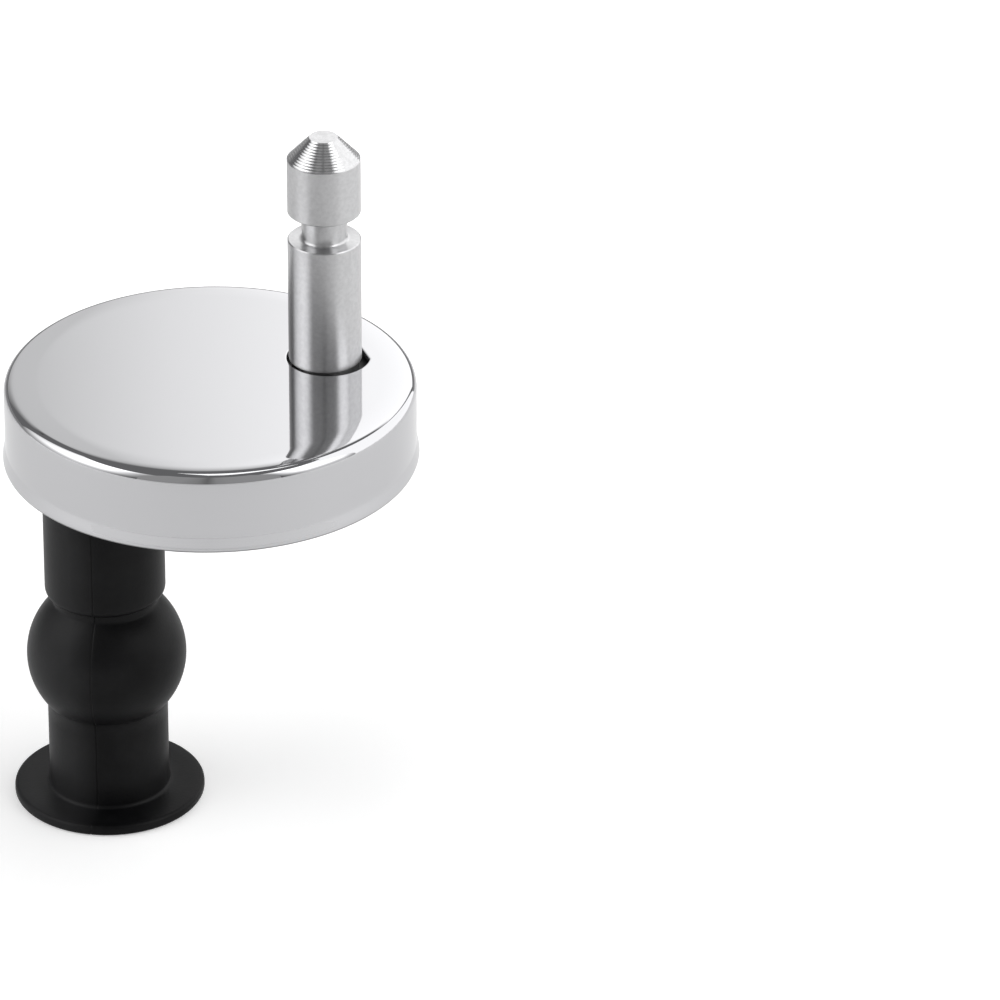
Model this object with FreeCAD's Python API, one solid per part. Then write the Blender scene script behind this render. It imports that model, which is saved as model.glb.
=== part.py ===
import FreeCAD, Part
import math
import os

# Toilet seat hinge, fixed from above: an expanding rubber sleeve in the pan's hole carries a base plate,
# a pin for the seat and a drawn cover over both. Millimetres, +Z up. The origin is on the clamp screw's
# axis in the plane of the pan's surface, and +X runs from the screw to the pin.

Vector = FreeCAD.Vector

# Cover: a cap drawn from polished sheet
cover_diameter = 50.5
sheet = 0.6
cover_edge_radius = 1.3
crown_radius = 30.0
crown_width = 4.0
lip_flare = 0.31
lip_height = 1.5
rim_clearance = 0.3  # between the cover's lip and the pan
cover_fit_clearance = 0.15  # radial, between the cover and the base plate

# Base plate: a moulded tray under the cover
base_floor = 2.0
base_rim_wall = 1.8
base_rim_gap = 0.1  # below the lowest part of the cover's ceiling
screw_edge_distance = 10.42  # from the plate's edge to the clamp screw's axis
pin_edge_distance = 9.58  # from the plate's edge to the pin's axis
well_clearance = 1.0  # around the washer
well_wall = 1.5
well_height = 4.2
boss_wall = 2.9
boss_gap = 0.6  # below the cover's ceiling
edge_break = 0.4  # chamfer on the top edges of the well and the boss
rib_thickness = 1.4
rib_height = 3.0
rib_angles = (55, 90, 125, 235, 270, 305)
crush_rib_count = 6
crush_rib_radius = 0.7
crush_rib_clearance = 0.05

# Gasket: a soft pad between the plate and the pan
gasket_thickness = 1.0
gasket_edge_inset = 0.8
gasket_hole_clearance = 0.4

# Hinge pin: turned, heights from the cover's top
pin_diameter = 9.0
pin_shank_height = 16.4
latch_groove_width = 3.67
latch_neck_diameter = 5.4
latch_neck_taper = 0.2  # the neck's radius grows by this towards the head
latch_neck_fillet = 0.4
pin_head_height = 7.1
pin_tip_height = 2.9
pin_tip_diameter = 3.5
pin_edge_chamfer = 0.12
pin_foot_chamfer = 0.12
pin_stem_diameter = 8.2
pin_socket_clearance = 0.05
pin_floor = 3.4  # the plate's thickness under the pin

# Pin's hole in the cover: a round hole with one flat, a little off the pin's axis
pin_hole_room = 0.6  # the hole's radius over the pin's
pin_hole_inner_clearance = 0.2
pin_hole_flat_clearance = 0.45

# Pin screw: countersunk, from below
pin_screw_diameter = 5.0
pin_screw_head_diameter = 10.0
pin_screw_head_land = 0.3
pin_screw_length = 12.0
pin_screw_recess = 0.1
pin_screw_clearance = 0.25
countersink_clearance = 0.05
tapped_hole_spare = 0.5

# Clamp screw and its washer
clamp_screw_diameter = 6.0
clamp_head_diameter = 12.0
clamp_head_height = 3.6
clamp_head_round = 1.5
clamp_head_gap = 1.9  # between the head and the cover's ceiling
clamp_screw_end_recess = 4.5  # from the sleeve's foot to the screw's end
screw_end_chamfer = 0.6
screw_hole_clearance = 0.2
washer_diameter = 12.0
washer_thickness = 1.6

# Cross recess in the screw heads
recess_width = 1.3
recess_span = 6.4
recess_depth = 2.0
pin_recess_scale = 0.8

# Captive nut
nut_across_flats = 10.0
nut_height = 8.0
nut_recess = 2.0  # from the sleeve's foot to the nut
nut_corner_chamfer = 0.5
nut_pocket_clearance = 0.05
thread_clearance = 0.02  # radial, around a plain shank that stands for the thread

# Expansion sleeve: moulded rubber, heights from its foot
sleeve_diameter = 14.9
sleeve_reach = 44.9  # from the pan's surface down to the foot
flange_width = 4.38
flange_thickness = 1.4
flange_edge_radius = 0.5
flange_fillet = 0.5
bulge_proud = 2.42  # the ball's radius over the sleeve's
bulge_height = 19.8
crease_depth = 1.0
crease_height = 0.95  # the narrow neck between the ball and the rounded end above it
crease_edge_radius = 1.2
crease_fillet = 0.5

# Radii worked out from the sizes above
cover_radius = cover_diameter / 2
base_radius = cover_radius - sheet - cover_fit_clearance
well_radius = washer_diameter / 2 + well_clearance
pin_radius = pin_diameter / 2
stem_radius = pin_stem_diameter / 2
boss_radius = stem_radius + boss_wall
sleeve_radius = sleeve_diameter / 2
clamp_radius = clamp_screw_diameter / 2
pin_screw_radius = pin_screw_diameter / 2
pin_screw_head_radius = pin_screw_head_diameter / 2

# Heights above the pan, from the bottom up
base_bottom = gasket_thickness
floor_top = base_bottom + base_floor
clamp_seat = floor_top + washer_thickness
ceiling = clamp_seat + clamp_head_height + clamp_head_gap
cover_top = ceiling + sheet
boss_top = ceiling - boss_gap
stem_bottom = base_bottom + pin_floor
foot = -sleeve_reach

# Places along X
cover_x = base_radius - screw_edge_distance
pin_x = cover_x + base_radius - pin_edge_distance

# Drop of the cover's crown where it meets the rounded edge
flat_radius = cover_radius - crown_width
crown_reach = cover_radius - cover_edge_radius - flat_radius
crown_angle = math.asin(crown_reach / (crown_radius - cover_edge_radius))
crown_drop = (crown_radius - sheet) * (1 - math.cos(crown_angle))


def lathe(axis_x, start, *steps):
    """Solid of revolution about a vertical axis. A step is an end point, or an arc's middle and end."""
    edges = []
    here = Vector(axis_x + start[0], 0, start[1])
    for step in steps + (start,):
        points = step if isinstance(step[0], tuple) else (step,)
        stops = [Vector(axis_x + r, 0, z) for r, z in points]
        if len(stops) == 2:
            edges.append(Part.Arc(here, stops[0], stops[1]).toShape())
        else:
            edges.append(Part.LineSegment(here, stops[0]).toShape())
        here = stops[-1]
    face = Part.Face(Part.Wire(edges))
    return face.revolve(Vector(axis_x, 0, 0), Vector(0, 0, 1), 360)


def on_circle(center, radius, angle):
    """Point at an angle from the outward direction, counted towards +Z."""
    return (center[0] + radius * math.cos(angle), center[1] + radius * math.sin(angle))


def cylinder(radius, bottom, top, x=0.0, y=0.0):
    return Part.makeCylinder(radius, top - bottom, Vector(x, y, bottom))


def hexagon(across_flats, bottom, top):
    corner = across_flats / math.sqrt(3)
    points = [Vector(*on_circle((0, 0), corner, math.radians(60 * i)), bottom) for i in range(7)]
    return Part.Face(Part.makePolygon(points)).extrude(Vector(0, 0, top - bottom))


def cross_recess(width, span, depth, x, mouth, inward):
    """Tapered cross that is cut into a screw head from its mouth, inward being +1 or -1 along Z."""
    arms = []
    for turn in (0, 90):
        sections = []
        for length, offset in ((span, 0.0), (width, depth)):
            half_length = length / 2
            half_width = width / 2
            corners = ((-half_length, -half_width), (half_length, -half_width),
                       (half_length, half_width), (-half_length, half_width), (-half_length, -half_width))
            points = [Vector(x + u, v, mouth + inward * offset) for u, v in corners]
            sections.append(Part.makePolygon(points))
        arm = Part.makeLoft(sections, True)
        arm.rotate(Vector(x, 0, 0), Vector(0, 0, 1), turn)
        arms.append(arm)
    return arms[0].fuse(arms[1])


def cover_side(inset):
    """Key points of the cover's outside (inset 0) or inside (inset of one sheet), from top to lip."""
    wall = cover_radius - inset
    crown_center = (flat_radius, cover_top - crown_radius)
    edge_center = on_circle(crown_center, crown_radius - cover_edge_radius, math.pi / 2 - crown_angle)
    flare_angle = 2 * math.atan(lip_flare / lip_height)
    flare_radius = lip_height / math.sin(flare_angle)
    middle_drop = (flare_radius + sheet / 2) * math.sin(flare_angle)
    flare_center = (cover_radius + flare_radius, rim_clearance + sheet / 2 + middle_drop)
    crown = crown_radius - inset
    edge = cover_edge_radius - inset
    flare = flare_radius + inset
    edge_start = math.pi / 2 - crown_angle
    return {
        "flat": (flat_radius, cover_top - inset),
        "crown_middle": on_circle(crown_center, crown, math.pi / 2 - crown_angle / 2),
        "crown_end": on_circle(crown_center, crown, edge_start),
        "edge_middle": on_circle(edge_center, edge, edge_start / 2),
        "edge_end": (wall, edge_center[1]),
        "flare_start": (wall, flare_center[1]),
        "flare_middle": on_circle(flare_center, flare, math.pi + flare_angle / 2),
        "flare_end": on_circle(flare_center, flare, math.pi + flare_angle),
        "lip_middle": on_circle(flare_center, flare_radius + sheet / 2, math.pi + flare_angle),
        "lip_direction": flare_angle - math.pi / 2,
    }


def make_cover_cap():
    outer = cover_side(0.0)
    inner = cover_side(sheet)
    lip_end = on_circle(outer["lip_middle"], sheet / 2, outer["lip_direction"])
    cap = lathe(
        cover_x, (0, cover_top), outer["flat"],
        (outer["crown_middle"], outer["crown_end"]), (outer["edge_middle"], outer["edge_end"]),
        outer["flare_start"], (outer["flare_middle"], outer["flare_end"]),
        (lip_end, inner["flare_end"]), (inner["flare_middle"], inner["flare_start"]),
        inner["edge_end"], (inner["edge_middle"], inner["crown_end"]),
        (inner["crown_middle"], inner["flat"]), (0, ceiling))
    hole_radius = pin_radius + pin_hole_room
    hole_x = pin_x + pin_hole_room - pin_hole_inner_clearance
    flat_x = pin_x + pin_radius + pin_hole_flat_clearance
    hole = cylinder(hole_radius, ceiling - sheet, cover_top + sheet, hole_x)
    beyond_flat = Part.makeBox(hole_radius * 2, hole_radius * 2, sheet * 3,
                               Vector(flat_x, -hole_radius, ceiling - sheet))
    return cap.cut(hole.cut(beyond_flat))


def post(x, radius, top):
    """Round post that stands on the base plate's underside, with a broken top edge."""
    return lathe(
        x, (0, base_bottom), (radius, base_bottom), (radius, top - edge_break), (radius - edge_break, top),
        (0, top))


def make_base_plate():
    rim_top = ceiling - crown_drop - base_rim_gap
    rim_inside = base_radius - base_rim_wall
    rim_chamfer = cover_edge_radius - sheet + cover_fit_clearance * 2
    tray = lathe(
        cover_x, (0, base_bottom), (base_radius, base_bottom), (base_radius, rim_top - rim_chamfer),
        (base_radius - rim_chamfer, rim_top), (rim_inside, rim_top), (rim_inside, floor_top),
        (0, floor_top))
    crush_x = base_radius + cover_fit_clearance - crush_rib_clearance - crush_rib_radius
    added = [post(0, well_radius + well_wall, floor_top + well_height), post(pin_x, boss_radius, boss_top)]
    spine = Part.makeBox(pin_x, rib_thickness, base_floor + rib_height,
                         Vector(0, -rib_thickness / 2, base_bottom))
    added.append(spine)
    for angle in rib_angles:
        rib = Part.makeBox(rim_inside + base_rim_wall / 2, rib_thickness, base_floor + rib_height,
                           Vector(cover_x, -rib_thickness / 2, base_bottom))
        rib.rotate(Vector(cover_x, 0, 0), Vector(0, 0, 1), angle)
        added.append(rib)
    for i in range(crush_rib_count):
        turn = math.radians(360 / crush_rib_count * (i + 0.5))
        rib_x, rib_y = on_circle((cover_x, 0), crush_x, turn)
        added.append(cylinder(crush_rib_radius, base_bottom, rim_top - rim_chamfer, rib_x, rib_y))
    plate = tray.multiFuse(added).removeSplitter()
    plate = plate.cut(cylinder(well_radius, floor_top, ceiling))
    plate = plate.cut(cylinder(clamp_radius + screw_hole_clearance, 0, ceiling))
    plate = plate.cut(cylinder(stem_radius + pin_socket_clearance, stem_bottom, ceiling, pin_x))
    plate = plate.cut(cylinder(pin_screw_radius + pin_screw_clearance, 0, ceiling, pin_x))
    return plate.cut(pin_screw_head(countersink_clearance, base_bottom - pin_screw_recess))


def make_base_gasket():
    pad = cylinder(base_radius - gasket_edge_inset, 0, gasket_thickness, cover_x)
    sleeve_hole = cylinder(sleeve_radius + gasket_hole_clearance, -gasket_thickness, gasket_thickness * 2)
    screw_hole = cylinder(pin_screw_head_radius + gasket_hole_clearance, -gasket_thickness,
                          gasket_thickness * 2, pin_x)
    return pad.cut(sleeve_hole).cut(screw_hole)


def make_hinge_pin():
    shank_end = cover_top + pin_shank_height
    head_start = shank_end + latch_groove_width
    head_end = head_start + pin_head_height
    tip = head_end + pin_tip_height
    neck = latch_neck_diameter / 2
    neck_top = neck + latch_neck_taper
    fillet = latch_neck_fillet
    chamfer = pin_edge_chamfer
    low_center = (neck + fillet, shank_end + fillet)
    high_center = (neck_top + fillet, head_start - fillet)
    pin = lathe(
        pin_x, (0, stem_bottom), (stem_radius, stem_bottom), (stem_radius, cover_top),
        (pin_radius - pin_foot_chamfer, cover_top), (pin_radius, cover_top + pin_foot_chamfer),
        (pin_radius, shank_end - chamfer), (pin_radius - chamfer, shank_end),
        (neck + fillet, shank_end),
        (on_circle(low_center, fillet, -3 * math.pi / 4), (neck, shank_end + fillet)),
        (neck_top, head_start - fillet),
        (on_circle(high_center, fillet, 3 * math.pi / 4), (neck_top + fillet, head_start)),
        (pin_radius - chamfer, head_start), (pin_radius, head_start + chamfer),
        (pin_radius, head_end), (pin_tip_diameter / 2, tip), (0, tip))
    tapped_top = base_bottom + pin_screw_recess + pin_screw_length + tapped_hole_spare
    return pin.cut(cylinder(pin_screw_radius + thread_clearance, base_bottom, tapped_top, pin_x))


def pin_screw_head(clearance, bottom):
    """Countersunk head, or with a clearance and a lower bottom the countersink that it lies in."""
    head_bottom = base_bottom + pin_screw_recess
    land_top = head_bottom + pin_screw_head_land
    cone = pin_screw_head_radius - pin_screw_radius
    radius = pin_screw_head_radius + clearance
    land = cylinder(radius, bottom, land_top + clearance, pin_x)
    taper_start = Vector(pin_x, 0, land_top + clearance)
    return land.fuse(Part.makeCone(radius, pin_screw_radius + clearance, cone, taper_start))


def make_pin_screw():
    head_bottom = base_bottom + pin_screw_recess
    end = head_bottom + pin_screw_length
    shank = lathe(
        pin_x, (0, head_bottom), (pin_screw_radius, head_bottom),
        (pin_screw_radius, end - screw_end_chamfer), (pin_screw_radius - screw_end_chamfer, end), (0, end))
    screw = pin_screw_head(0.0, head_bottom).fuse(shank).removeSplitter()
    scale = pin_recess_scale
    recess = cross_recess(recess_width * scale, recess_span * scale, recess_depth * scale,
                          pin_x, head_bottom, 1)
    return screw.cut(recess)


def make_clamp_screw():
    head = clamp_head_diameter / 2
    head_top = clamp_seat + clamp_head_height
    end = foot + clamp_screw_end_recess
    round_center = (head - clamp_head_round, head_top - clamp_head_round)
    screw = lathe(
        0, (0, head_top), (head - clamp_head_round, head_top),
        (on_circle(round_center, clamp_head_round, math.pi / 4), (head, head_top - clamp_head_round)),
        (head, clamp_seat), (clamp_radius, clamp_seat), (clamp_radius, end + screw_end_chamfer),
        (clamp_radius - screw_end_chamfer, end), (0, end))
    return screw.cut(cross_recess(recess_width, recess_span, recess_depth, 0, head_top, -1))


def make_plain_washer():
    ring = cylinder(washer_diameter / 2, floor_top, clamp_seat)
    return ring.cut(cylinder(clamp_radius + screw_hole_clearance, base_bottom, ceiling))


def make_captive_nut():
    bottom = foot + nut_recess
    top = bottom + nut_height
    corner = nut_across_flats / math.sqrt(3)
    turned = lathe(
        0, (0, bottom), (corner - nut_corner_chamfer, bottom), (corner, bottom + nut_corner_chamfer),
        (corner, top - nut_corner_chamfer), (corner - nut_corner_chamfer, top), (0, top))
    nut = hexagon(nut_across_flats, bottom, top).common(turned)
    return nut.cut(cylinder(clamp_radius + thread_clearance, foot, top + nut_height))


def make_expansion_sleeve():
    flange = sleeve_radius + flange_width
    edge = flange_edge_radius
    flange_top = foot + flange_thickness
    fillet_center = (sleeve_radius + flange_fillet, flange_top + flange_fillet)
    ball = sleeve_radius + bulge_proud
    ball_center = (0, foot + bulge_height)
    crease = sleeve_radius - crease_depth
    ball_bottom = ball_center[1] - math.sqrt(ball ** 2 - sleeve_radius ** 2)
    ball_top = ball_center[1] + math.sqrt(ball ** 2 - crease ** 2)
    neck_angle = math.acos((crease + crease_fillet) / (ball + crease_fillet))
    neck_center = on_circle(ball_center, ball + crease_fillet, neck_angle)
    neck_top = ball_top + crease_height
    crease_turn = math.acos(1 - crease_depth / crease_edge_radius)
    wall_start = neck_top + crease_edge_radius * math.sin(crease_turn)
    crease_center = (sleeve_radius - crease_edge_radius, wall_start)
    tube = lathe(
        0, (clamp_radius + screw_hole_clearance, foot), (flange - edge, foot),
        (on_circle((flange - edge, foot + edge), edge, -math.pi / 4), (flange, foot + edge)),
        (flange, flange_top - edge),
        (on_circle((flange - edge, flange_top - edge), edge, math.pi / 4), (flange - edge, flange_top)),
        (sleeve_radius + flange_fillet, flange_top),
        (on_circle(fillet_center, flange_fillet, -3 * math.pi / 4), (sleeve_radius, fillet_center[1])),
        (sleeve_radius, ball_bottom),
        ((ball, ball_center[1]), on_circle(ball_center, ball, neck_angle)),
        (on_circle(neck_center, crease_fillet, math.pi + neck_angle / 2), (crease, neck_center[1])),
        (crease, neck_top),
        (on_circle(crease_center, crease_edge_radius, -crease_turn / 2), (sleeve_radius, wall_start)),
        (sleeve_radius, base_bottom), (clamp_radius + screw_hole_clearance, base_bottom))
    pocket = hexagon(nut_across_flats + nut_pocket_clearance * 2, foot - nut_recess,
                     foot + nut_recess + nut_height)
    return tube.cut(pocket)


pieces = {
    "cover_cap": make_cover_cap,
    "base_plate": make_base_plate,
    "base_gasket": make_base_gasket,
    "hinge_pin": make_hinge_pin,
    "pin_screw": make_pin_screw,
    "clamp_screw": make_clamp_screw,
    "plain_washer": make_plain_washer,
    "captive_nut": make_captive_nut,
    "expansion_sleeve": make_expansion_sleeve,
}

os.makedirs("parts", exist_ok=True)
for name, make in pieces.items():
    shape = make()
    shape.exportStep("parts/" + name + ".step")
    print(name, len(shape.Solids), shape.isValid(), round(shape.Volume, 2))
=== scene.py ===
import math

import bpy
from mathutils import Matrix, Vector


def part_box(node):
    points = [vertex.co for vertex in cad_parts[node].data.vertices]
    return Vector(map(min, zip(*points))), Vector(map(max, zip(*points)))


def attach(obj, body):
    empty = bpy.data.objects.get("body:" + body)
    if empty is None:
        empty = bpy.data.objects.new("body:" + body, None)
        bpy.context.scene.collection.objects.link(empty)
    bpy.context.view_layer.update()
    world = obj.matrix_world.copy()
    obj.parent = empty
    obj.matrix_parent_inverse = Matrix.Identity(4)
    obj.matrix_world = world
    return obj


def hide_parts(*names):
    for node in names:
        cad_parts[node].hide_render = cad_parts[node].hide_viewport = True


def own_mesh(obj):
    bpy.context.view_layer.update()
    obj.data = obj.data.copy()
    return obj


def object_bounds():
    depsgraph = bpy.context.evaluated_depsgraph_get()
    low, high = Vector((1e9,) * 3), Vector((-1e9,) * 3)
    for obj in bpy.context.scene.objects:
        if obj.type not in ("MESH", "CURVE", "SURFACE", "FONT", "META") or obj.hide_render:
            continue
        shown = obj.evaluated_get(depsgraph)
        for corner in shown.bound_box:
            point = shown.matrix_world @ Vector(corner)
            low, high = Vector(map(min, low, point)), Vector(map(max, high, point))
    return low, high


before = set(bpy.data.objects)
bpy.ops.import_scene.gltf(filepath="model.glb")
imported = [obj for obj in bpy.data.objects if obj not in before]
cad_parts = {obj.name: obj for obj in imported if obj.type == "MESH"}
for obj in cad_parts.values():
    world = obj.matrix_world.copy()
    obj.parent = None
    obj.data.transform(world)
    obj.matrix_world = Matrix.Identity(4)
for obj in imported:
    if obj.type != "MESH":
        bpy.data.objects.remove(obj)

cadLow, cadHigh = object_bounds()
mm = 0.001  # piece sizes below are in millimetres, Blender works in metres
print("frame loaded:", len(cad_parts), "nodes")


def linear(hexColor):  # sRGB hex to the linear values that shaders take
    channels = [int(hexColor[i:i + 2], 16) / 255 for i in (1, 3, 5)]
    return [c / 12.92 if c <= 0.04045 else ((c + 0.055) / 1.055) ** 2.4 for c in channels] + [1.0]


# Shader helpers, with the sizes of patterns in millimetres

def addNode(tree, kind, inputs=None, **settings):
    node = tree.nodes.new("ShaderNode" + kind)
    for key, value in settings.items():
        setattr(node, key, value)
    for key, value in (inputs or {}).items():
        if isinstance(value, bpy.types.NodeSocket):
            tree.links.new(value, node.inputs[key])
        else:
            node.inputs[key].default_value = value
    return node


def addNoise(tree, place, size, detail):
    noise = addNode(tree, "TexNoise", {"Vector": place, "Scale": 1 / (size * mm), "Detail": detail})
    return noise.outputs[0]


def addRange(tree, value, before, after, **settings):  # carries one span of values over to another
    return addNode(tree, "MapRange", {
        "Value": value, "From Min": before[0], "From Max": before[1],
        "To Min": after[0], "To Max": after[1]}, **settings).outputs[0]


def addRamp(tree, share, colors, places=(0.0, 1.0)):  # from the first colour to the second
    ramp = addNode(tree, "ValToRGB", {"Fac": share})
    for mark, color, place in zip(ramp.color_ramp.elements, colors, places):
        mark.position = place
        mark.color = linear(color)
    return ramp.outputs[0]


def addBump(tree, height, depth, strength=1.0):
    bump = addNode(tree, "Bump", {"Height": height, "Distance": depth * mm, "Strength": strength})
    return bump.outputs[0]


def addSurface(tree, inputs):
    shader = addNode(tree, "BsdfPrincipled", inputs)
    addNode(tree, "OutputMaterial", {"Surface": shader.outputs[0]})


def newMaterial(name):
    material = bpy.data.materials.new(name)
    material.use_nodes = True
    material.node_tree.nodes.clear()
    return material, material.node_tree


# Mesh helpers: a piece is a run of rings, each with the same number of points or a single one on the axis

def polar(center, radius, turn):  # degrees, from outward towards up
    angle = math.radians(turn)
    return (center[0] + radius * math.cos(angle), center[1] + radius * math.sin(angle))


def arc(center, radius, start, end, steps):
    return [polar(center, radius, start + (end - start) * i / steps) for i in range(steps + 1)]


def run(start, end, steps):  # evenly spaced points on a straight stretch, without its start
    return [(start[0] + (end[0] - start[0]) * i / steps, start[1] + (end[1] - start[1]) * i / steps)
            for i in range(1, steps + 1)]


def spin(profile, axisX, angles):
    rings = []
    for radius, z in profile:
        if radius == 0:
            rings.append([(axisX, 0.0, z)])
        else:
            rings.append([(axisX + radius * math.cos(a), radius * math.sin(a), z) for a in angles])
    return rings


def evenAngles(count):
    return [2 * math.pi * i / count for i in range(count)]


def ringMesh(name, rings, closed=False, sharpAngle=30):
    points = []
    firsts = []
    for ring in rings:
        firsts.append(len(points))
        points += [(x * mm, y * mm, z * mm) for x, y, z in ring]
    faces = []
    pairs = list(zip(range(len(rings)), range(1, len(rings))))
    if closed:
        pairs.append((len(rings) - 1, 0))
    for upper, lower in pairs:
        count = max(len(rings[upper]), len(rings[lower]))
        for i in range(count):
            j = (i + 1) % count
            corners = []
            for ring, k in ((upper, i), (lower, i), (lower, j), (upper, j)):
                corner = firsts[ring] + (k if len(rings[ring]) > 1 else 0)
                if corner not in corners:
                    corners.append(corner)
            faces.append(corners)
    mesh = bpy.data.meshes.new(name)
    mesh.from_pydata(points, [], faces)
    mesh.shade_smooth()
    mesh.set_sharp_from_angle(angle=math.radians(sharpAngle))
    piece = bpy.data.objects.new(name, mesh)
    bpy.context.scene.collection.objects.link(piece)
    return piece


def dress(piece, material, body, node):
    piece.data.materials.append(material)
    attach(piece, body)
    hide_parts(node)


# Places that several pieces share
coverLow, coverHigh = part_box("cover_cap")
pinLow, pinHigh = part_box("hinge_pin")
sleeveLow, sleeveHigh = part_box("expansion_sleeve")
screwLow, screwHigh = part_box("clamp_screw")
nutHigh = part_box("captive_nut")[1]
coverX = (coverLow.x + coverHigh.x) / 2 / mm
coverTop = coverHigh.z / mm
pinX = (pinLow.x + pinHigh.x) / 2 / mm


# Materials. A range names the values of a pattern between which it goes from one end to the other.

# Polished stainless: sheet that was deep drawn and then mopped to a mirror.
# The eye gets a clear reflection with a breath of haze and a slight ripple from the drawing.
polishedStainless = {
    "color": "#c9c9cb",
    "lipEndColor": "#868687",  # darker towards the lip's end
    "lipEndBand": (0.24, 0.3),  # heights over the lip's end, from the darker colour to the full one
    "roughness": 0.025,
    "haze": 0.02,  # added roughness where the mop has left most haze
    "hazeSize": 9.0,
    "hazeRange": (0.35, 0.7),
    "rippleSize": 6.0,
    "rippleHeight": 0.003,
}


def makePolishedStainless():
    look = polishedStainless
    material, tree = newMaterial("polishedDrawnStainless")
    place = addNode(tree, "TexCoord").outputs["Object"]
    haze = addNoise(tree, place, look["hazeSize"], detail=4.0)
    roughness = addRange(tree, haze, look["hazeRange"],
                         (look["roughness"], look["roughness"] + look["haze"]))
    ripple = addNoise(tree, place, look["rippleSize"], detail=1.0)
    height = addNode(tree, "SeparateXYZ", {"Vector": place}).outputs["Z"]
    # the colour is darker towards the lip's end
    aboveLipEnd = addRange(tree, height, [coverLow.z + rise * mm for rise in look["lipEndBand"]], (0.0, 1.0))
    addSurface(tree, {
        "Base Color": addRamp(tree, aboveLipEnd, (look["lipEndColor"], look["color"])), "Metallic": 1.0,
        "Roughness": roughness, "Normal": addBump(tree, ripple, look["rippleHeight"])})
    return material


# Turned stainless: bar from the lathe, left as turned.
# Fine rings round the bar smear a reflection along it and keep it crisp across.
turnedStainless = {
    "color": "#cbcbcc",
    "dullColor": "#c2c2c3",
    "mottle": 0.5,
    "mottleRange": (0.35, 0.65),
    "roughness": 0.3,
    "coneRoughness": 0.16,  # the cone and the tip were faced with a fresh edge
    "coneHeight": 2.9,
    "anisotropy": 0.85,
    "anisotropyTurn": 0.25,  # a quarter turn, since the rings run round the bar
    "feed": 0.22,  # ring spacing; a real feed of about 0.08 mm is too fine to show, so it is drawn coarser
    "ringHeight": 0.0007,
    "ringWaver": 0.6,
    "streakSize": 0.3,
    "streakSquash": 0.08,  # of the pattern's width, which makes a streak long round the bar
    "streakRange": (0.3, 0.7),
    "streakRoughness": 0.03,
}


def makeTurnedStainless():
    look = turnedStainless
    material, tree = newMaterial("turnedStainlessBar")
    place = addNode(tree, "TexCoord").outputs["Object"]
    onAxis = addNode(tree, "Mapping", {"Vector": place, "Location": (-pinX * mm, 0, 0)}).outputs[0]
    waveScale = 0.1 * math.pi / (look["feed"] * mm)  # a wave is 0.1 pi / scale long
    along = addNode(tree, "TexWave", {"Vector": onAxis, "Scale": waveScale, "Distortion": look["ringWaver"]},
                    wave_type="BANDS", bands_direction="Z")
    across = addNode(tree, "TexWave", {"Vector": onAxis, "Scale": waveScale},
                     wave_type="RINGS", rings_direction="Z")
    rings = addNode(tree, "Math", {0: along.outputs[1], 1: across.outputs[1]}, operation="ADD")
    squash = (look["streakSquash"], look["streakSquash"], 1.0)
    squashed = addNode(tree, "Mapping", {"Vector": onAxis, "Scale": squash}).outputs[0]
    streaks = addNoise(tree, squashed, look["streakSize"], detail=3.0)
    swing = look["streakRoughness"] / 2
    barRoughness = addRange(tree, streaks, look["streakRange"],
                            (look["roughness"] - swing, look["roughness"] + swing))
    height = addNode(tree, "SeparateXYZ", {"Vector": place}).outputs["Z"]
    coneStart = pinHigh.z - look["coneHeight"] * mm
    roughness = addRange(tree, height, (coneStart, coneStart + look["feed"] * mm),
                         (barRoughness, look["coneRoughness"]))
    mottle = addNoise(tree, place, look["mottle"], detail=4.0)
    tangent = addNode(tree, "Tangent", direction_type="RADIAL", axis="Z").outputs[0]
    addSurface(tree, {
        "Base Color": addRamp(tree, mottle, (look["dullColor"], look["color"]), look["mottleRange"]),
        "Metallic": 1.0, "Roughness": roughness,
        "Anisotropic": look["anisotropy"], "Anisotropic Rotation": look["anisotropyTurn"],
        "Normal": addBump(tree, rings.outputs[0], look["ringHeight"]), "Tangent": tangent})
    return material


# EPDM rubber, moulded in a fine-blasted tool: black, dull, with a soft grey bloom and a fine grain.
# The side towards the lamps on the left is painted lighter, setting in at the parting line: painted light
# from those lamps.
mouldedRubber = {
    "color": "#060607",
    # painted light: a lighter colour on the side towards the lamps on the left
    "litSideColor": "#2a2a2b",
    "litSideTurn": 150,  # the middle of the greyer half, in degrees round the sleeve
    "litSideEdge": (-0.5, 3.0),  # the stretch beside the parting line over which it sets in
    "bloomSize": 7.0,
    "bloomRange": (0.35, 0.75),
    "bloomShare": 0.35,
    "roughness": 0.42,
    "ior": 1.52,
    "specular": 0.12,  # a porous skin gives back less than a smooth one
    "grain": 0.35,  # a blasted tool's grain is nearer 0.1 mm, drawn coarser so that it shows
    "grainHeight": 0.012,
}


def makeMouldedRubber():
    look = mouldedRubber
    material, tree = newMaterial("mouldedBlackRubber")
    place = addNode(tree, "TexCoord").outputs["Object"]
    swing = look["bloomShare"] / 2
    bloom = addRange(tree, addNoise(tree, place, look["bloomSize"], detail=5.0), look["bloomRange"],
                     (-swing, swing))
    # painted light: the side towards the lamps on the left is made lighter, on top of the bloom
    litSideWay = (math.cos(math.radians(look["litSideTurn"])), math.sin(math.radians(look["litSideTurn"])), 0)
    side = addNode(tree, "VectorMath", {0: place, 1: litSideWay}, operation="DOT_PRODUCT").outputs["Value"]
    half = addRange(tree, side, [edge * mm for edge in look["litSideEdge"]], (swing, 1 - swing))
    grey = addNode(tree, "Math", {0: half, 1: bloom}, operation="ADD").outputs[0]
    grain = addNoise(tree, place, look["grain"], detail=3.0)
    addSurface(tree, {
        "Base Color": addRamp(tree, grey, (look["color"], look["litSideColor"])),
        "Roughness": look["roughness"], "IOR": look["ior"], "Specular IOR Level": look["specular"],
        "Normal": addBump(tree, grain, look["grainHeight"])})
    return material


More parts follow.
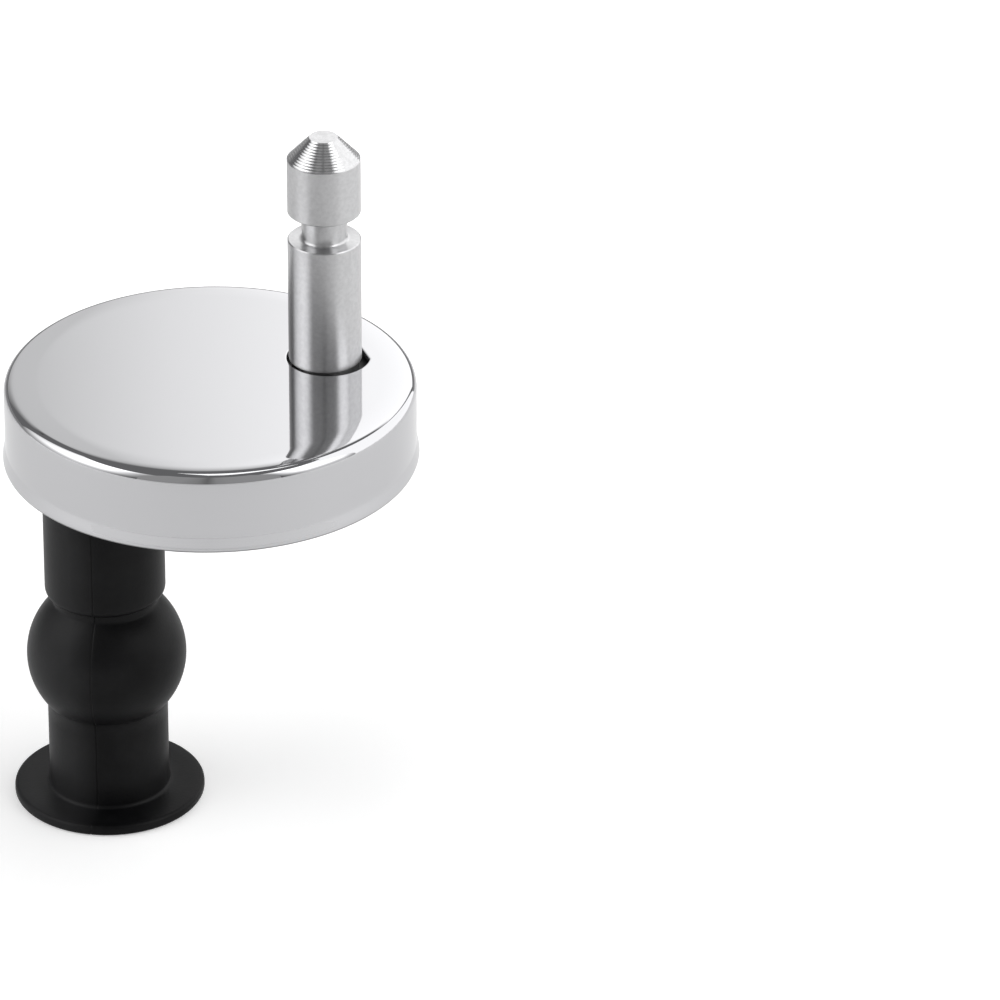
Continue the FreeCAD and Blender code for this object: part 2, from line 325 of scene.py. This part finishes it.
# Nylon, moulded black in a spark-eroded tool: an even fine texture with a low sheen.
mouldedNylon = {
    "color": "#232425",
    "roughness": (0.43, 0.55),
    "ior": 1.53,
    "texture": 0.4,  # spark texture, drawn a little coarser than the real 0.2 mm
    "textureHeight": 0.015,
    "sheenSize": 4.8,
    "sheenRange": (0.3, 0.7),
}


def makeMouldedNylon():
    look = mouldedNylon
    material, tree = newMaterial("mouldedBlackNylon")
    place = addNode(tree, "TexCoord").outputs["Object"]
    pits = addNode(tree, "TexVoronoi", {"Vector": place, "Scale": 1 / (look["texture"] * mm)})
    sheen = addNoise(tree, place, look["sheenSize"], detail=3.0)
    addSurface(tree, {
        "Base Color": linear(look["color"]),
        "Roughness": addRange(tree, sheen, look["sheenRange"], look["roughness"]), "IOR": look["ior"],
        "Normal": addBump(tree, pits.outputs["Distance"], look["textureHeight"])})
    return material


# Cellular rubber, cut from sheet for the gasket: dark grey, quite dull, its closed cells a fine stipple.
cutGasket = {
    "color": "#4a4a4b",
    "cellColor": "#3a3a3b",
    "roughness": 0.85,
    "cell": 0.5,
    "cellRange": (0.15, 0.6),
    "cellDepth": 0.05,
    "cellStrength": 0.8,
}


def makeCutGasket():
    look = cutGasket
    material, tree = newMaterial("cutCellularRubber")
    place = addNode(tree, "TexCoord").outputs["Object"]
    cells = addNode(tree, "TexVoronoi", {"Vector": place, "Scale": 1 / (look["cell"] * mm)})
    away = cells.outputs["Distance"]  # from the middle of a cell
    addSurface(tree, {
        "Base Color": addRamp(tree, away, (look["cellColor"], look["color"]), look["cellRange"]),
        "Roughness": look["roughness"],
        "Normal": addBump(tree, away, look["cellDepth"], look["cellStrength"])})
    return material


# Machined metals: bright zinc plate on steel, with its faint mottle, and brass straight from the machine.
machinedMetals = {
    "brightZincPlatedSteel": {"color": "#c6c9cd", "dullColor": "#b9bcc1",
                              "roughness": (0.22, 0.36), "mottle": 2.5},
    "machinedBrass": {"color": "#e4cf9a", "dullColor": "#d6bd82",
                      "roughness": (0.2, 0.34), "mottle": 1.6},
}
mottleRanges = {"color": (0.35, 0.7), "roughness": (0.3, 0.7)}


def makeMachinedMetal(name):
    look = machinedMetals[name]
    material, tree = newMaterial(name)
    place = addNode(tree, "TexCoord").outputs["Object"]
    mottle = addNoise(tree, place, look["mottle"], detail=4.0)
    addSurface(tree, {
        "Base Color": addRamp(tree, mottle, (look["color"], look["dullColor"]), mottleRanges["color"]),
        "Metallic": 1.0,
        "Roughness": addRange(tree, mottle, mottleRanges["roughness"], look["roughness"])})
    return material


polished = makePolishedStainless()
turned = makeTurnedStainless()
rubber = makeMouldedRubber()
nylon = makeMouldedNylon()
gasketRubber = makeCutGasket()
zinc = makeMachinedMetal("brightZincPlatedSteel")
brass = makeMachinedMetal("machinedBrass")
print("materials made")


# Cover cap: drawn sheet with a crowned edge, a flared lip and a D-shaped hole punched from above
coverCap = {
    "wallRadius": 25.25,
    "sheet": 0.6,
    "edgeRadius": 1.3,
    "crownRadius": 30.0,
    "crownWidth": 4.0,
    "skirtAngle": 11.7,
    "skirtBend": 1.5,
    "holeRoom": 0.6,  # the hole's radius over the pin's
    "holeInnerGap": 0.2,  # beside the pin, towards the middle of the cover
    "holeFlatGap": 0.45,  # and towards the flat of the D
    "punchRound": 0.14,  # where the punch has drawn the sheet's edge in
    "topShares": (0.12, 0.4, 0.75, 0.985),  # where rings lie between the hole and the crown
    "points": 384,
    "steps": {"crown": 8, "edge": 14, "wall": 5, "bend": 5, "skirt": 4, "lip": 8, "punch": 4},
}


def coverSide(inset):  # profile of the outside (inset 0) or the inside (inset of one sheet), top to lip
    cap = coverCap
    steps = cap["steps"]
    wall = cap["wallRadius"] - inset
    flat = cap["wallRadius"] - cap["crownWidth"]
    reach = cap["crownWidth"] - cap["edgeRadius"]
    crownAngle = math.degrees(math.asin(reach / (cap["crownRadius"] - cap["edgeRadius"])))
    crownCenter = (flat, coverTop - cap["crownRadius"])
    edgeCenter = polar(crownCenter, cap["crownRadius"] - cap["edgeRadius"], 90 - crownAngle)
    lipRadius = cap["sheet"] / 2
    lipCenter = ((coverHigh.x - coverLow.x) / 2 / mm - lipRadius, coverLow.z / mm + lipRadius)
    skirtTurn = math.radians(cap["skirtAngle"])
    skirtOut = lipCenter[0] + lipRadius * math.cos(skirtTurn) - cap["wallRadius"]
    skirtTop = lipCenter[1] + lipRadius * math.sin(skirtTurn) + skirtOut / math.tan(skirtTurn)
    bendCenter = (cap["wallRadius"] + cap["skirtBend"],
                  skirtTop + cap["skirtBend"] * math.tan(skirtTurn / 2))
    crown = arc(crownCenter, cap["crownRadius"] - inset, 90, 90 - crownAngle, steps["crown"])
    edge = arc(edgeCenter, cap["edgeRadius"] - inset, 90 - crownAngle, 0, steps["edge"])
    straight = run((wall, edgeCenter[1]), (wall, bendCenter[1]), steps["wall"])
    bend = arc(bendCenter, cap["skirtBend"] + inset, 180, 180 + cap["skirtAngle"], steps["bend"])
    skirt = run(bend[-1], polar(lipCenter, lipRadius - inset, cap["skirtAngle"]), steps["skirt"])
    return crown + edge[1:] + straight + bend[1:] + skirt, lipCenter


def buildCoverCap():
    cap = coverCap
    steps = cap["steps"]
    holeRadius = (pinHigh.x - pinLow.x) / 2 / mm + cap["holeRoom"]
    holeX = pinX + cap["holeRoom"] - cap["holeInnerGap"]
    flatReach = pinHigh.x / mm + cap["holeFlatGap"] - holeX
    offset = holeX - coverX
    flat = cap["wallRadius"] - cap["crownWidth"]
    cornerTurn = math.acos(flatReach / holeRadius)
    cornerRay = math.sqrt(flat ** 2 - (offset * math.sin(cornerTurn)) ** 2) - offset * math.cos(cornerTurn)
    corner = math.atan2(cornerRay * math.sin(cornerTurn), offset + cornerRay * math.cos(cornerTurn))
    angles = evenAngles(cap["points"])
    nearest = round(corner / (2 * math.pi) * cap["points"])
    angles[nearest] = corner  # a point on each corner of the D
    angles[-nearest] = 2 * math.pi - corner
    rays = [math.atan2(flat * math.sin(a), flat * math.cos(a) - offset) for a in angles]

    def holeRing(wider, z):
        ring = []
        for ray in rays:
            reach = holeRadius + wider
            if math.cos(ray) * reach > flatReach + wider:
                reach = (flatReach + wider) / math.cos(ray)
            ring.append((holeX + reach * math.cos(ray), reach * math.sin(ray), z))
        return ring

    def between(inner, outer, share):
        return [tuple(p + (q - p) * share for p, q in zip(*pair)) for pair in zip(inner, outer)]

    outside, lipCenter = coverSide(0.0)
    inside = coverSide(cap["sheet"])[0]
    lip = arc(lipCenter, cap["sheet"] / 2, cap["skirtAngle"], cap["skirtAngle"] - 180, steps["lip"])[1:-1]
    side = spin(outside + lip + inside[::-1], coverX, angles)
    ceiling = coverTop - cap["sheet"]
    punchRound = cap["punchRound"]
    rollCenter = (punchRound, coverTop - punchRound)
    hole = [holeRing(0.0, ceiling)]
    hole += [holeRing(wider, z) for wider, z in arc(rollCenter, punchRound, 180, 90, steps["punch"])]
    topEdge = holeRing(punchRound * 2, coverTop)
    top = [topEdge] + [between(topEdge, side[0], share) for share in cap["topShares"]]
    underEdge = holeRing(punchRound, ceiling)
    under = [between(underEdge, side[-1], share) for share in cap["topShares"][::-1]] + [underEdge]
    piece = ringMesh("coverCap", hole + top + side + under, closed=True)
    dress(piece, polished, "cover", "cover_cap")


buildCoverCap()
print("cover cap built")


# Hinge pin: turned bar with a latch groove, a plain head and a cone that shows the tool's feed
hingePin = {
    "shankHeight": 16.4,
    "grooveWidth": 3.67,
    "neckRadius": 2.7,
    "neckTaper": 0.2,
    "neckFillet": 0.4,
    "filletEdge": 0.1,  # a ring this far past a fillet keeps the groove's face flat
    "headHeight": 7.1,
    "tipRadius": 1.75,
    "edgeChamfer": 0.12,
    "footChamfer": 0.12,
    "stemRadius": 4.1,
    "boreRadius": 2.52,
    "boreTop": 13.6,
    "coneRings": 11,
    "coneRingDepth": 0.024,
    "sharpAngle": 25,
    "points": 192,
    "steps": {"tip": 3, "coneRing": 6, "head": 6, "fillet": 5, "shank": 10, "stem": 3},
}


def buildHingePin():
    pin = hingePin
    steps = pin["steps"]
    radius = (pinHigh.x - pinLow.x) / 2 / mm
    bottom = pinLow.z / mm
    tip = pinHigh.z / mm
    shankEnd = coverTop + pin["shankHeight"]
    headStart = shankEnd + pin["grooveWidth"]
    headEnd = headStart + pin["headHeight"]
    chamfer = pin["edgeChamfer"]
    fillet = pin["neckFillet"]
    neck = pin["neckRadius"]
    neckTop = neck + pin["neckTaper"]
    slope = Vector((pin["tipRadius"] - radius, tip - headEnd))
    inward = Vector((-slope.y, slope.x)).normalized()
    cone = []
    count = pin["coneRings"] * steps["coneRing"]
    for i in range(count):
        part = (i % steps["coneRing"]) / steps["coneRing"]
        hollow = pin["coneRingDepth"] * 4 * part * (1 - part)  # each turn of the feed leaves a hollow
        point = Vector((radius, headEnd)) + slope * (i / count) + inward * hollow
        cone.append((point.x, point.y))
    profile = [(0, tip)] + run((0, tip), (pin["tipRadius"], tip), steps["tip"]) + cone[::-1]
    profile += run((radius, headEnd), (radius, headStart + chamfer), steps["head"])
    profile += [(radius - chamfer, headStart), (neckTop + fillet + pin["filletEdge"], headStart)]
    profile += arc((neckTop + fillet, headStart - fillet), fillet, 90, 180, steps["fillet"])
    profile += arc((neck + fillet, shankEnd + fillet), fillet, 180, 270, steps["fillet"])
    profile += [(neck + fillet + pin["filletEdge"], shankEnd), (radius - chamfer, shankEnd)]
    profile += [(radius, shankEnd - chamfer)]
    profile += run((radius, shankEnd - chamfer), (radius, coverTop + pin["footChamfer"]), steps["shank"])
    profile += [(radius - pin["footChamfer"], coverTop), (pin["stemRadius"], coverTop)]
    profile += run((pin["stemRadius"], coverTop), (pin["stemRadius"], bottom), steps["stem"])
    profile += [(pin["boreRadius"], bottom), (pin["boreRadius"], pin["boreTop"]), (0, pin["boreTop"])]
    rings = spin(profile, pinX, evenAngles(pin["points"]))
    piece = ringMesh("hingePin", rings, sharpAngle=pin["sharpAngle"])
    dress(piece, turned, "base", "hinge_pin")


buildHingePin()
print("hinge pin built")


# Expansion sleeve: moulded tube with a ball-shaped bulge, a foot flange, a nut pocket and a parting line
expansionSleeve = {
    "radius": 7.45,
    "boreRadius": 3.2,
    "topRound": 0.3,
    "flangeThickness": 1.4,
    "flangeEdge": 0.5,
    "flangeFillet": 0.5,
    "ballProud": 2.42,
    "ballHeight": 19.8,
    "creaseDepth": 1.0,
    "creaseHeight": 0.95,
    "creaseEdge": 1.2,
    "creaseFillet": 0.5,
    "pocketAcrossFlats": 10.1,
    "partingTurns": (60, 240),  # where the two halves of the mould met
    "partingDepth": 0.08,
    "partingHalfWidth": 0.8,  # degrees
    "partingShares": (-1, -0.5, 0, 0.5, 1),  # where points lie across the parting line
    "turnStep": 1.5,  # degrees between the other points
    "squashKeep": 0.832,  # the share of its height left when the nut is drawn right up
    "sharpAngle": 40,
    "steps": {"topRound": 4, "wall": 8, "creaseEdge": 8, "neck": 3, "creaseFillet": 4, "ball": 36,
              "waist": 6, "flangeFillet": 6, "flange": 3, "flangeEdge": 5, "bore": 8},
}


def sleeveProfile():  # the outside, from the top's inner edge to the foot
    sleeve = expansionSleeve
    steps = sleeve["steps"]
    radius = sleeve["radius"]
    foot = sleeveLow.z / mm
    top = sleeveHigh.z / mm
    flange = (sleeveHigh.x - sleeveLow.x) / 2 / mm
    flangeTop = foot + sleeve["flangeThickness"]
    edge = sleeve["flangeEdge"]
    fillet = sleeve["flangeFillet"]
    topRound = sleeve["topRound"]
    ball = radius + sleeve["ballProud"]
    ballZ = foot + sleeve["ballHeight"]
    crease = radius - sleeve["creaseDepth"]
    creaseEdge = sleeve["creaseEdge"]
    creaseTurn = math.degrees(math.acos(1 - sleeve["creaseDepth"] / creaseEdge))
    ballLow = -math.degrees(math.acos(radius / ball))
    fill = sleeve["creaseFillet"]
    ballHigh = math.degrees(math.acos((crease + fill) / (ball + fill)))
    neckCenter = polar((0, ballZ), ball + fill, ballHigh)
    neckTop = ballZ + math.sqrt(ball ** 2 - crease ** 2) + sleeve["creaseHeight"]
    wallStart = neckTop + creaseEdge * math.sin(math.radians(creaseTurn))
    waistEnd = flangeTop + fillet
    outer = arc((radius - topRound, top - topRound), topRound, 90, 0, steps["topRound"])
    outer += run((radius, top - topRound), (radius, wallStart), steps["wall"])
    outer += arc((radius - creaseEdge, wallStart), creaseEdge, 0, -creaseTurn, steps["creaseEdge"])[1:]
    outer += run((crease, neckTop), (crease, neckCenter[1]), steps["neck"])
    outer += arc(neckCenter, fill, 180, 180 + ballHigh, steps["creaseFillet"])[1:]
    outer += arc((0, ballZ), ball, ballHigh, ballLow, steps["ball"])[1:]
    outer += run(outer[-1], (radius, waistEnd), steps["waist"])
    outer += arc((radius + fillet, waistEnd), fillet, 180, 270, steps["flangeFillet"])[1:]
    outer += run((radius + fillet, flangeTop), (flange - edge, flangeTop), steps["flange"])
    outer += arc((flange - edge, flangeTop - edge), edge, 90, 0, steps["flangeEdge"])[1:]
    outer += arc((flange - edge, foot + edge), edge, 0, -90, steps["flangeEdge"])
    return outer


def buildExpansionSleeve():
    sleeve = expansionSleeve
    foot = sleeveLow.z / mm
    top = sleeveHigh.z / mm
    halfWidth = sleeve["partingHalfWidth"]

    def fromParting(turn):
        return min(abs(turn - parting) for parting in sleeve["partingTurns"])

    evenTurns = [i * sleeve["turnStep"] for i in range(round(360 / sleeve["turnStep"]))]
    turns = [turn for turn in evenTurns if fromParting(turn) > halfWidth]
    for parting in sleeve["partingTurns"]:
        turns += [parting + halfWidth * share for share in sleeve["partingShares"]]
    turns.sort()
    angles = [math.radians(turn) for turn in turns]
    groove = [sleeve["partingDepth"] * max(0.0, 1 - fromParting(turn) / halfWidth) for turn in turns]

    pocketTop = nutHigh.z / mm
    boreStart = (sleeve["boreRadius"], pocketTop)
    boreEnd = (sleeve["boreRadius"], top)
    rings = spin([boreEnd], 0, angles)
    for r, z in sleeveProfile():
        rings.append([((r - g) * math.cos(a), (r - g) * math.sin(a), z) for a, g in zip(angles, groove)])
    apothem = sleeve["pocketAcrossFlats"] / 2
    pocket = [apothem / math.cos(math.radians(turn % 60 - 30)) for turn in turns]  # a hexagon
    for z in (foot, (foot + pocketTop) / 2, pocketTop):
        rings.append([(p * math.cos(a), p * math.sin(a), z) for a, p in zip(angles, pocket)])
    bore = [boreStart] + run(boreStart, boreEnd, sleeve["steps"]["bore"])[:-1]
    rings += spin(bore, 0, angles)
    piece = ringMesh("expansionSleeve", rings, closed=True, sharpAngle=sleeve["sharpAngle"])
    dress(piece, rubber, "anchor", "expansion_sleeve")
    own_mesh(piece)


buildExpansionSleeve()
print("expansion sleeve built")


# Clamp screw: pan head with a cross recess, and a right-handed M6 thread
clampScrew = {
    "radius": 3.0,
    "pitch": 1.0,
    "threadDepth": 0.55,
    "rootEnd": 0.109375,  # where the flat root ends, in pitches from the middle of the groove
    "crestStart": 0.421875,  # and where the flat crest starts
    "plainNeck": 1.0,  # without thread, below the head
    "headHeight": 3.6,
    "headRound": 1.5,
    "endChamfer": 0.6,
    "recessWidth": 1.3,
    "recessSpan": 6.4,
    "recessDepth": 2.0,
    "recessPast": 0.1,  # the share by which the cutter stands out past the head
    "sharpAngle": 40,
    "points": 48,
    "stepsPerPitch": 8,
    "steps": {"headTop": 3, "headRound": 6},
}


def threadRadius(z, angle, fade):
    screw = clampScrew
    part = (z / screw["pitch"] - angle / (2 * math.pi)) % 1.0
    depth = (screw["crestStart"] - abs(part - 0.5)) / (screw["crestStart"] - screw["rootEnd"])
    return screw["radius"] - screw["threadDepth"] * fade * min(1.0, max(0.0, depth))


def cutRecess(piece, top):  # the cross recess: two tapered bars, cut out of the head
    screw = clampScrew
    half = screw["recessWidth"] / 2
    past = screw["recessPast"]
    mouth = (screw["recessSpan"] / 2 * (1 + past), top + past * screw["recessDepth"])
    floor = (half, top - screw["recessDepth"])
    for turn in (0, 90):
        corners = []
        for reach, z in (mouth, floor):
            corners.append([(-reach, -half, z), (reach, -half, z), (reach, half, z), (-reach, half, z)])
        middles = [[(0, 0, ring[0][2])] for ring in corners]
        cutter = ringMesh("crossRecess", [middles[0]] + corners + [middles[1]])
        cutter.matrix_world = Matrix.Rotation(math.radians(turn), 4, "Z")
        cut = piece.modifiers.new("crossRecess", "BOOLEAN")
        cut.operation = "DIFFERENCE"
        cut.solver = "EXACT"
        cut.object = cutter
        bpy.context.view_layer.update()
        evaluated = piece.evaluated_get(bpy.context.evaluated_depsgraph_get())
        cutMesh = bpy.data.meshes.new_from_object(evaluated)
        piece.modifiers.clear()
        piece.data = cutMesh
        bpy.data.objects.remove(cutter)
    piece.data.shade_smooth()
    piece.data.set_sharp_from_angle(angle=math.radians(screw["sharpAngle"]))


def buildClampScrew():
    screw = clampScrew
    steps = screw["steps"]
    head = (screwHigh.x - screwLow.x) / 2 / mm
    top = screwHigh.z / mm
    end = screwLow.z / mm
    seat = top - screw["headHeight"]
    angles = evenAngles(screw["points"])
    headRound = screw["headRound"]
    curve = arc((head - headRound, top - headRound), headRound, 90, 0, steps["headRound"])
    profile = [(0, top)] + run((0, top), curve[0], steps["headTop"]) + curve[1:]
    profile += [(head, seat), (screw["radius"], seat)]
    rings = spin(profile, 0, angles)
    threadTop = seat - screw["plainNeck"]
    threadEnd = end + screw["endChamfer"]
    count = round((threadTop - threadEnd) / screw["pitch"] * screw["stepsPerPitch"])
    for i in range(count + 1):
        z = threadTop + (threadEnd - threadTop) * i / count
        fade = min(1.0, i / screw["stepsPerPitch"])  # the thread runs out over one turn
        ring = []
        for a in angles:
            r = threadRadius(z, a, fade)
            ring.append((r * math.cos(a), r * math.sin(a), z))
        rings.append(ring)
    rings += spin([(screw["radius"] - screw["endChamfer"], end), (0, end)], 0, angles)
    piece = ringMesh("clampScrew", rings, sharpAngle=screw["sharpAngle"])
    cutRecess(piece, top)
    dress(piece, zinc, "screw", "clamp_screw")


buildClampScrew()
print("clamp screw built")


# Pieces that keep their own solids and take a finish
solidFinishes = {
    "base_plate": nylon,
    "base_gasket": gasketRubber,
    "pin_screw": zinc,
    "plain_washer": zinc,
    "captive_nut": brass,
}
for node, material in solidFinishes.items():
    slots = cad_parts[node].data.materials
    slots.clear()
    slots.append(material)
print("solids finished:", ", ".join(solidFinishes))


# Studio, in metres and degrees: a white sweep, soft boxes to the left and right, a dim room in front and
# a graded panel behind. A panel is a patch of a sphere round the object. Its glow is given at some turns,
# counted from straight behind the object towards the right, and rise counts from the level. A fade goes
# from the rise with the full glow to the rise that has only the share fadeTo of it.
camera = {
    "place": (-0.24122, -0.77052, 0.44271),
    "yaw": 20.836,
    "pitch": 28.975,
    "roll": -0.25,
    "lens": 270.8,
    "sensor": 36.0,
    "clipStart": 0.01,
}
studio = {
    "worldColor": "#7a7a7b",
    "floorColor": "#eeeeee",
    "floorGlow": (0.33, 0.85),  # lifts the floor to white for the eye, near the object and far off
    "floorReach": (0.02, 0.25),  # what is near and what is far
    "floorMetalGlow": 0.13,  # and in the metal
    "floorRadius": 2.6,
    "coveRadius": 0.4,
    "floorPoints": 96,
    "steps": {"floor": 12, "cove": 8, "panel": 12},
    "panels": {
        "leftBox": {"rise": (-4, 56), "away": 0.42, "fade": (30, 0), "fadeTo": 0.35,
                    "glow": ((-144, 0.4), (-136, 0.9), (-124, 2.1), (-108, 2.5), (-90, 2.1), (-72, 1.4),
                             (-66, 0.9))},
        "rightBox": {"rise": (-4, 60), "away": 0.45, "fade": (34, 3), "fadeTo": 0.32,
                     "glow": ((98, 1.6), (105, 2.6), (127, 2.6), (142, 0.4))},
        "rightWall": {"rise": (-3, 62), "away": 0.72, "glow": ((36, 1.6), (98, 1.6))},
        "ceilingLamp": {"rise": (66, 86), "away": 0.75, "glow": ((-15, 2.0), (42, 2.0))},
        "frontFill": {"rise": (-3, 68), "away": 1.1,
                      "glow": ((141, 0.42), (168, 0.4), (175, 0.36), (180, 0.2), (185, 0.32), (194, 0.4),
                               (219, 0.42))},
        "frontCard": {"rise": (-8.6, -3), "away": 0.3, "onlyInMetal": True,
                      "glow": ((105, 1.05), (135, 0.95), (180, 0.85), (225, 0.95), (285, 1.05))},
        "backPanel": {"rise": (12, 43.5), "away": 0.35, "fade": (38, 46), "fadeTo": 0.0,
                      "glow": ((-45, 0.25), (-24, 0.7), (-14, 0.84), (-8.3, 0.86), (-3.7, 1.2), (2.6, 1.54),
                               (11, 1.7), (34, 1.7))},
    },
}


def buildFloor():
    steps = studio["steps"]
    lip = studio["floorRadius"] / mm
    cove = studio["coveRadius"] / mm
    floorZ = cadLow.z / mm
    profile = [(0, floorZ)] + run((0, floorZ), (lip, floorZ), steps["floor"])
    profile += arc((lip, floorZ + cove), cove, 270, 360, steps["cove"])[1:]
    floor = ringMesh("studioFloor", spin(profile, coverX, evenAngles(studio["floorPoints"])))
    material, tree = newMaterial("whiteSweep")
    ray = addNode(tree, "LightPath").outputs
    mirrored = addNode(tree, "Math", {0: ray["Is Glossy Ray"], 1: ray["Is Transmission Ray"]},
                       operation="MAXIMUM")
    metalGlow = addNode(tree, "Math", {0: mirrored.outputs[0], 1: studio["floorMetalGlow"]},
                        operation="MULTIPLY")
    place = addNode(tree, "TexCoord").outputs["Object"]
    away = addNode(tree, "VectorMath", {0: place, 1: (coverX * mm, 0, cadLow.z)}, operation="DISTANCE")
    eyeGlow = addRange(tree, away.outputs["Value"], studio["floorReach"], studio["floorGlow"])
    glow = addNode(tree, "Math", {0: ray["Is Camera Ray"], 1: eyeGlow, 2: metalGlow.outputs[0]},
                   operation="MULTIPLY_ADD")
    paper = addNode(tree, "BsdfDiffuse", {"Color": linear(studio["floorColor"])})
    lift = addNode(tree, "Emission", {"Strength": glow.outputs[0]})
    white = addNode(tree, "AddShader", {0: paper.outputs[0], 1: lift.outputs[0]})
    clear = addNode(tree, "BsdfTransparent")
    back = addNode(tree, "NewGeometry").outputs["Backfacing"]  # seen from below, the floor isn't there
    surface = addNode(tree, "MixShader", {0: back, 1: white.outputs[0], 2: clear.outputs[0]})
    addNode(tree, "OutputMaterial", {"Surface": surface.outputs[0]})
    floor.data.materials.append(material)


def spread(span, steps):  # even angles over a span of degrees, in radians
    return [math.radians(span[0] + (span[1] - span[0]) * i / steps) for i in range(steps + 1)]


def buildPanel(name, panel):
    away = panel["away"]
    stops = panel["glow"]
    brightest = max(glow for turn, glow in stops)
    middle = (stops[0][0] + stops[-1][0]) / 2
    half = stops[-1][0] - middle
    steps = studio["steps"]["panel"]
    points = []
    for rise in spread(panel["rise"], steps):
        for turn in spread((-half, half), steps):
            level = away * math.cos(rise)
            points.append((level * math.sin(turn), level * math.cos(turn), away * math.sin(rise)))
    faces = []
    for i in range(steps):
        for corner in range(i * (steps + 1), i * (steps + 1) + steps):
            faces.append((corner, corner + 1, corner + steps + 2, corner + steps + 1))
    mesh = bpy.data.meshes.new(name)
    mesh.from_pydata(points, [], faces)
    box = bpy.data.objects.new(name, mesh)
    bpy.context.scene.collection.objects.link(box)
    aim = Matrix.Rotation(math.radians(-camera["yaw"] - middle), 4, "Z")
    box.matrix_world = Matrix.Translation((coverX * mm, 0, 0)) @ aim
    box.visible_camera = False
    if "onlyInMetal" in panel:
        box.visible_diffuse = False
        box.visible_shadow = False
    material, tree = newMaterial(name + "Glow")
    place = addNode(tree, "SeparateXYZ", {"Vector": addNode(tree, "TexCoord").outputs["Object"]}).outputs
    turnHere = addNode(tree, "Math", {0: place["X"], 1: place["Y"]}, operation="ARCTAN2").outputs[0]
    share = addRange(tree, turnHere, (math.radians(-half), math.radians(half)), (0.0, 1.0))
    ramp = addNode(tree, "ValToRGB", {"Fac": share})
    marks = ramp.color_ramp.elements  # it starts with one at each end
    for turn, glow in stops[1:-1]:
        marks.new((turn - middle + half) / (2 * half))
    for mark, (turn, glow) in zip(marks, stops):
        mark.color = (glow / brightest,) * 3 + (1.0,)
    strength = brightest
    if "fade" in panel:
        fade = [away * math.sin(math.radians(rise)) for rise in panel["fade"]]
        strength = addRange(tree, place["Z"], fade, (brightest, brightest * panel["fadeTo"]),
                            interpolation_type="SMOOTHSTEP")
    light = addNode(tree, "Emission", {"Color": ramp.outputs[0], "Strength": strength})
    addNode(tree, "OutputMaterial", {"Surface": light.outputs[0]})
    box.data.materials.append(material)


buildFloor()
for name, panel in studio["panels"].items():
    buildPanel(name, panel)
world = bpy.data.worlds.new("studioRoom")
world.use_nodes = True
world.node_tree.nodes["Background"].inputs["Color"].default_value = linear(studio["worldColor"])
bpy.context.scene.world = world
print("studio built")


def buildCamera():
    lens = bpy.data.cameras.new("photoCamera")
    lens.lens = camera["lens"]
    lens.sensor_width = camera["sensor"]
    lens.clip_start = camera["clipStart"]
    eye = bpy.data.objects.new("photoCamera", lens)
    bpy.context.scene.collection.objects.link(eye)
    eye.matrix_world = (Matrix.Translation(camera["place"])
                        @ Matrix.Rotation(math.radians(-camera["yaw"]), 4, "Z")
                        @ Matrix.Rotation(math.radians(90 - camera["pitch"]), 4, "X")
                        @ Matrix.Rotation(math.radians(-camera["roll"]), 4, "Z"))
    bpy.context.scene.camera = eye


buildCamera()
bpy.context.scene.view_settings.view_transform = "Standard"
print("camera placed")

bpy.context.view_layer.update()
